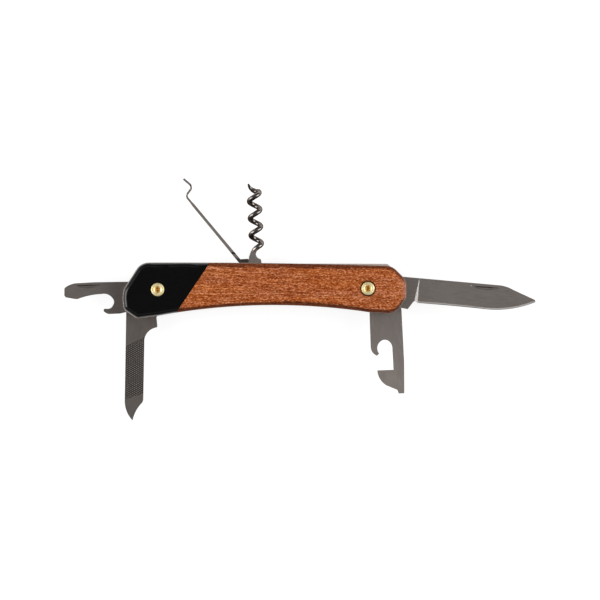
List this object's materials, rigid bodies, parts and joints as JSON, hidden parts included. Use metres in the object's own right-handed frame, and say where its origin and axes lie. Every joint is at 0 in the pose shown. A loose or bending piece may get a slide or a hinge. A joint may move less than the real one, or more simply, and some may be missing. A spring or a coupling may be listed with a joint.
{
  "type": "folding pocket knife",
  "caption": "Folding pocket knife with its blade, openers, nail file, corkscrew and strip hook turned out of a riveted handle covered in wood.",
  "frame": {"origin": "on the rear scale's flat outer face, midway between the two pivot rivets", "axes": "+X along the handle towards the main blade, +Y towards the back of the handle, +Z from the rear scale to the front scale"},
  "size_m": [0.1649, 0.0849, 0.0178],
  "materials": {
    "wood": "satin",
    "black_wood": "satin",
    "rivet_brass": "polished",
    "liner_steel": "brushed",
    "spring_steel": "polished",
    "pin_steel": "turned",
    "blade_steel": "satin",
    "can_opener_steel": "satin",
    "bottle_opener_steel": "satin",
    "file_steel": "satin",
    "worm_steel": "polished",
    "hook_steel": "polished"
  },
  "bodies": {
    "handle": {"front_wood_scale": "wood", "rear_wood_scale": "wood", "front_black_scale": "black_wood", "rear_black_scale": "black_wood", "left_rivet": "rivet_brass", "right_rivet": "rivet_brass", "front_liner": "liner_steel", "rear_liner": "liner_steel", "blade_divider": "liner_steel", "file_divider": "liner_steel", "blade_spring": "spring_steel", "opener_spring": "spring_steel", "file_spring": "spring_steel", "back_tool_pin": "pin_steel", "spring_pin": "pin_steel", "corkscrew_spacer": "pin_steel"},
    "main_blade": {"main_blade": "blade_steel"},
    "can_opener": {"can_opener": "can_opener_steel"},
    "bottle_opener": {"bottle_opener": "bottle_opener_steel"},
    "nail_file": {"nail_file": "file_steel"},
    "corkscrew": {"corkscrew": "worm_steel"},
    "strip_hook": {"strip_hook": "hook_steel"}
  },
  "joints": [
    {"name": "main_blade_pivot", "type": "hinge", "parent": "handle", "child": "main_blade", "pos_m": [0.03677, 0, 0.0121], "axis": [0, 0, 1], "range_deg": [-170, 0]},
    {"name": "can_opener_pivot", "type": "hinge", "parent": "handle", "child": "can_opener", "pos_m": [0.03677, 0, 0.0089], "axis": [0, 0, 1], "range_deg": [-95, 75]},
    {"name": "bottle_opener_pivot", "type": "hinge", "parent": "handle", "child": "bottle_opener", "pos_m": [-0.03677, 0, 0.0089], "axis": [0, 0, 1], "range_deg": [0, 165]},
    {"name": "nail_file_pivot", "type": "hinge", "parent": "handle", "child": "nail_file", "pos_m": [-0.03677, 0, 0.0057], "axis": [0, 0, 1], "range_deg": [-75, 98]},
    {"name": "corkscrew_pivot", "type": "hinge", "parent": "handle", "child": "corkscrew", "pos_m": [-0.0025, 0.00651, 0.0073], "axis": [0, 0, 1], "range_deg": [-92, 0]},
    {"name": "strip_hook_pivot", "type": "hinge", "parent": "handle", "child": "strip_hook", "pos_m": [-0.0025, 0.00651, 0.00517], "axis": [0, 0, 1], "range_deg": [-25, 48]}
  ]
}
